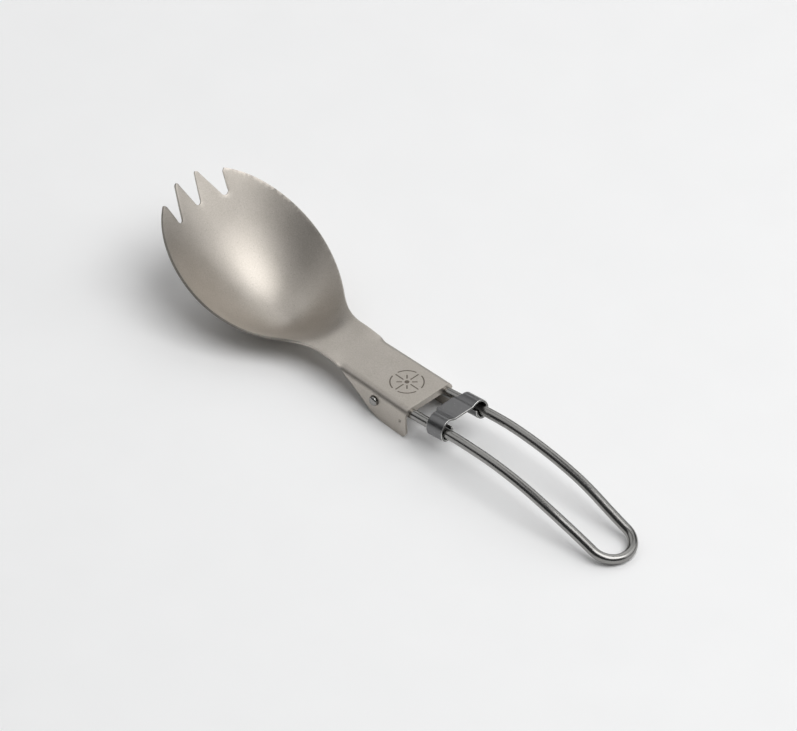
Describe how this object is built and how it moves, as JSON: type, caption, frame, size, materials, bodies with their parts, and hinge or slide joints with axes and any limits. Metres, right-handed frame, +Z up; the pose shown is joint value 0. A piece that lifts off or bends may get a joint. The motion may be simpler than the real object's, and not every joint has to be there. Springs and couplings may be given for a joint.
{
  "type": "folding spork",
  "caption": "Folding spork: a stamped, tined bowl on a channel neck, a bent-wire loop handle hinged in its flanges, and a sliding sheet clip that locks the handle open.",
  "frame": {"origin": "on the table under the middle of the opened spork's bounding box; the bowl's underside, the flanges' lower corners and the handle's end stand on Z = 0", "axes": "+X from the tines to the handle's end, +Y to the left of it, +Z up"},
  "size_m": [0.1518, 0.0394, 0.025],
  "materials": {
    "head_titanium": "bead-blasted titanium sheet",
    "handle_wire": "polished drawn stainless wire",
    "slider_sheet": "satin dark stainless sheet"
  },
  "bodies": {
    "head": {"spork_head": "head_titanium"},
    "handle": {"wire_handle": "handle_wire"},
    "slider": {"lock_slider": "slider_sheet"}
  },
  "joints": [
    {"name": "handle_fold", "type": "hinge", "parent": "head", "child": "handle", "pos_m": [-0.00277, 0, 0.0052], "axis": [0, 1, 0], "range_deg": [0, 177]},
    {"name": "slider_slide", "type": "slide", "parent": "handle", "child": "slider", "axis": [0.9895, 0, 0.1446], "range_m": [-0.0069, 0.003]}
  ]
}
